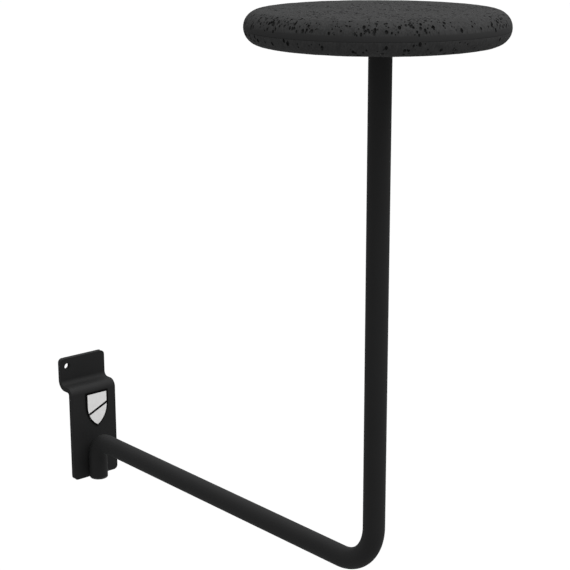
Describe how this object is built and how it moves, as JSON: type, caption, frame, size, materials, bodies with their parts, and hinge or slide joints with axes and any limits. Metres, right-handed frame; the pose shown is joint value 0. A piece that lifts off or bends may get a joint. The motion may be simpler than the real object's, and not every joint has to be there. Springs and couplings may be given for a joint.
{
  "type": "slotted panel helmet display bracket",
  "caption": "Bent steel tube on a hook plate for slotted wall panels, running out and up to a round foam pad that holds a helmet.",
  "frame": {"origin": "where the arm's axis meets the hook plate's back face, which rests on the panel", "axes": "+Y into the panel, square to the plate's back face; the arm runs along -Y and the post along +Z; +X to the right as seen from the room"},
  "size_m": [0.139, 0.3697, 0.3442],
  "materials": {
    "powder_coat": "fine-textured black powder coat on steel",
    "weld_bead": "weld bead under black powder coat",
    "plug_plastic": "black moulded polyethylene",
    "label_black": "black cut vinyl",
    "label_grey": "light grey satin vinyl",
    "bare_steel": "uncoated mild steel, hidden in the pad",
    "pad_foam": "black moulded closed-cell foam with open pits",
    "glue": "dried contact adhesive, hidden in the pad's seam"
  },
  "bodies": {
    "root": {"hook_plate": "powder_coat", "arm_tube": "powder_coat", "stub_weld_left": "weld_bead", "stub_weld_right": "weld_bead", "tube_plug": "plug_plastic", "label_base": "label_black", "label_face": "label_grey", "core_plate": "bare_steel", "core_weld": "bare_steel", "pad_lower": "pad_foam", "pad_upper": "pad_foam", "glue_film": "glue"}
  },
  "joints": []
}
